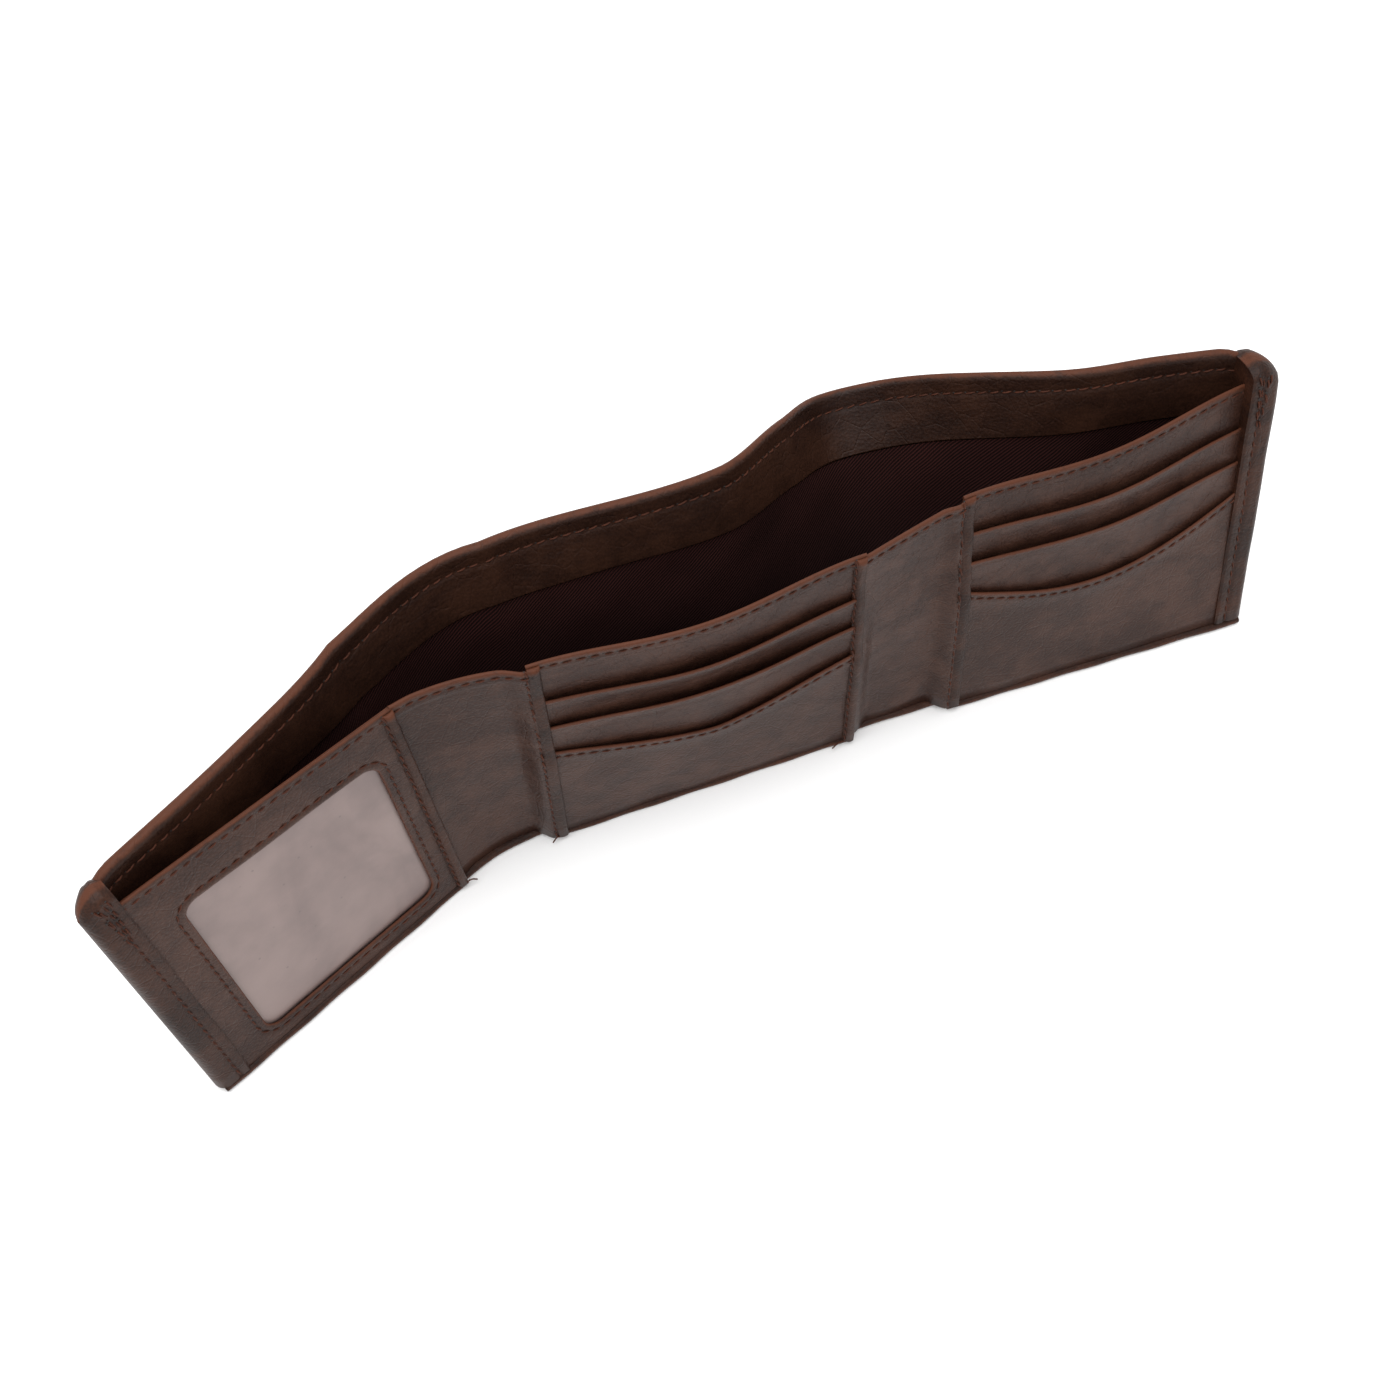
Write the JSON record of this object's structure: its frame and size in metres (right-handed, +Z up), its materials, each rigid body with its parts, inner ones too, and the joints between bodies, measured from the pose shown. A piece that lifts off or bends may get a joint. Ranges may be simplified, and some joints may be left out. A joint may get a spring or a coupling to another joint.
{
  "type": "trifold wallet",
  "caption": "Open leather trifold wallet standing on its bottom edge: identity window on one wing, card pockets on the other two panels, lined note compartment gaping behind.",
  "frame": {"origin": "on the floor, in the middle of the centre panel's bottom hem", "axes": "+X along the centre panel to the viewer's right when facing the pockets, +Y towards the outer cover, +Z up"},
  "size_m": [0.3348, 0.1179, 0.0929],
  "materials": {
    "cover_leather": "semi-gloss oiled dark brown leather, mottled, lighter where it bends",
    "pocket_leather": "semi-gloss oiled leather, slightly greyer brown",
    "turned_edge": "leather edges worn to red-brown",
    "twill_lining": "dark maroon-brown twill",
    "clear_film": "cloudy clear flexible film",
    "thread": "waxed red-brown sewing thread"
  },
  "bodies": {
    "centre": {"centre_panel": "pocket_leather", "centre_slot_1": "pocket_leather", "centre_slot_2": "pocket_leather", "centre_pocket": "pocket_leather", "divider_centre": "twill_lining", "cover_centre": "cover_leather", "facing_centre": "cover_leather", "lining_centre": "twill_lining", "seam_band_centre_left": "turned_edge", "seam_band_centre_right": "turned_edge", "bottom_hem_centre": "turned_edge", "gusset_fold_left": "pocket_leather", "gusset_fold_right": "pocket_leather", "bottom_hem_fold_left": "turned_edge", "bottom_hem_fold_right": "turned_edge"},
    "left_wing": {"id_backing": "pocket_leather", "id_window_film": "clear_film", "id_frame": "pocket_leather", "seam_band_left_wing": "turned_edge", "divider_left": "twill_lining", "cover_left": "cover_leather", "facing_left": "cover_leather", "bottom_hem_left": "turned_edge", "end_hem_left": "turned_edge"},
    "right_wing": {"right_panel": "pocket_leather", "right_slot_1": "pocket_leather", "right_slot_2": "pocket_leather", "right_pocket": "pocket_leather", "seam_band_right_wing": "turned_edge", "divider_right": "twill_lining", "cover_right": "cover_leather", "facing_right": "cover_leather", "bottom_hem_right": "turned_edge", "end_hem_right": "turned_edge"},
    "back_left": {"lining_fold_left": "twill_lining"},
    "wrap_left": {"cover_fold_left": "cover_leather", "facing_fold_left": "cover_leather"},
    "tip_left": {"lining_left": "twill_lining"},
    "back_right": {"lining_fold_right": "twill_lining"},
    "wrap_right": {"cover_fold_right": "cover_leather", "facing_fold_right": "cover_leather"},
    "tip_right": {"lining_right": "twill_lining"}
  },
  "joints": [
    {"name": "left_fold", "type": "hinge", "parent": "centre", "child": "left_wing", "pos_m": [-0.05925, -0.00645, 0], "axis": [-0.026, 0.1192, 0.9925], "range_deg": [0, 155.58], "deforming": ["cover_left", "facing_left", "gusset_fold_left", "bottom_hem_fold_left"]},
    {"name": "left_lift", "type": "hinge", "parent": "centre", "child": "back_left", "pos_m": [0, 0.002, 0], "axis": [1, 0, 0], "range_deg": [-0.01, 23.51], "deforming": ["lining_fold_left"]},
    {"name": "left_wrap", "type": "hinge", "parent": "back_left", "child": "wrap_left", "pos_m": [-0.05902, -0.00712, 0], "axis": [-0.0887, 0.4067, 0.9092], "range_deg": [-0.01, 157.58], "deforming": ["cover_fold_left", "facing_fold_left"]},
    {"name": "left_tip", "type": "hinge", "parent": "wrap_left", "child": "tip_left", "pos_m": [-0.01507, 0.03293, -0.00302], "axis": [-0.9092, -0.4163, 0], "range_deg": [-0.01, 11.01], "deforming": ["lining_left"]},
    {"name": "right_fold", "type": "hinge", "parent": "centre", "child": "right_wing", "pos_m": [0.06017, -0.0149, 0], "axis": [-0.0022, -0.1392, -0.9903], "range_deg": [0, 178.22], "deforming": ["cover_right", "facing_right", "gusset_fold_right", "bottom_hem_fold_right"]},
    {"name": "right_lift", "type": "hinge", "parent": "centre", "child": "back_right", "pos_m": [0.00001, 0.00218, 0], "axis": [1, -0.0039, 0], "range_deg": [-0.01, 35.01], "deforming": ["lining_fold_right"]},
    {"name": "right_wrap", "type": "hinge", "parent": "back_right", "child": "wrap_right", "pos_m": [0.06007, -0.02125, 0], "axis": [-0.012, -0.6946, -0.7193], "range_deg": [-0.01, 178.65], "deforming": ["cover_fold_right", "facing_fold_right"]},
    {"name": "right_tip", "type": "hinge", "parent": "wrap_right", "child": "tip_right", "pos_m": [0.0001, 0.00302, 0.00042], "axis": [-0.9995, 0.0314, 0], "range_deg": [-0.01, 37.01], "deforming": ["lining_right"]}
  ],
  "couplings": [
    {"joint": "left_lift", "follows": "left_fold", "ratio": 0.15105},
    {"joint": "left_wrap", "follows": "left_fold", "ratio": 1.0128},
    {"joint": "left_tip", "follows": "left_fold", "ratio": 0.070704},
    {"joint": "right_lift", "follows": "right_fold", "ratio": 0.19639},
    {"joint": "right_wrap", "follows": "right_fold", "ratio": 1.0024},
    {"joint": "right_tip", "follows": "right_fold", "ratio": 0.20761}
  ]
}
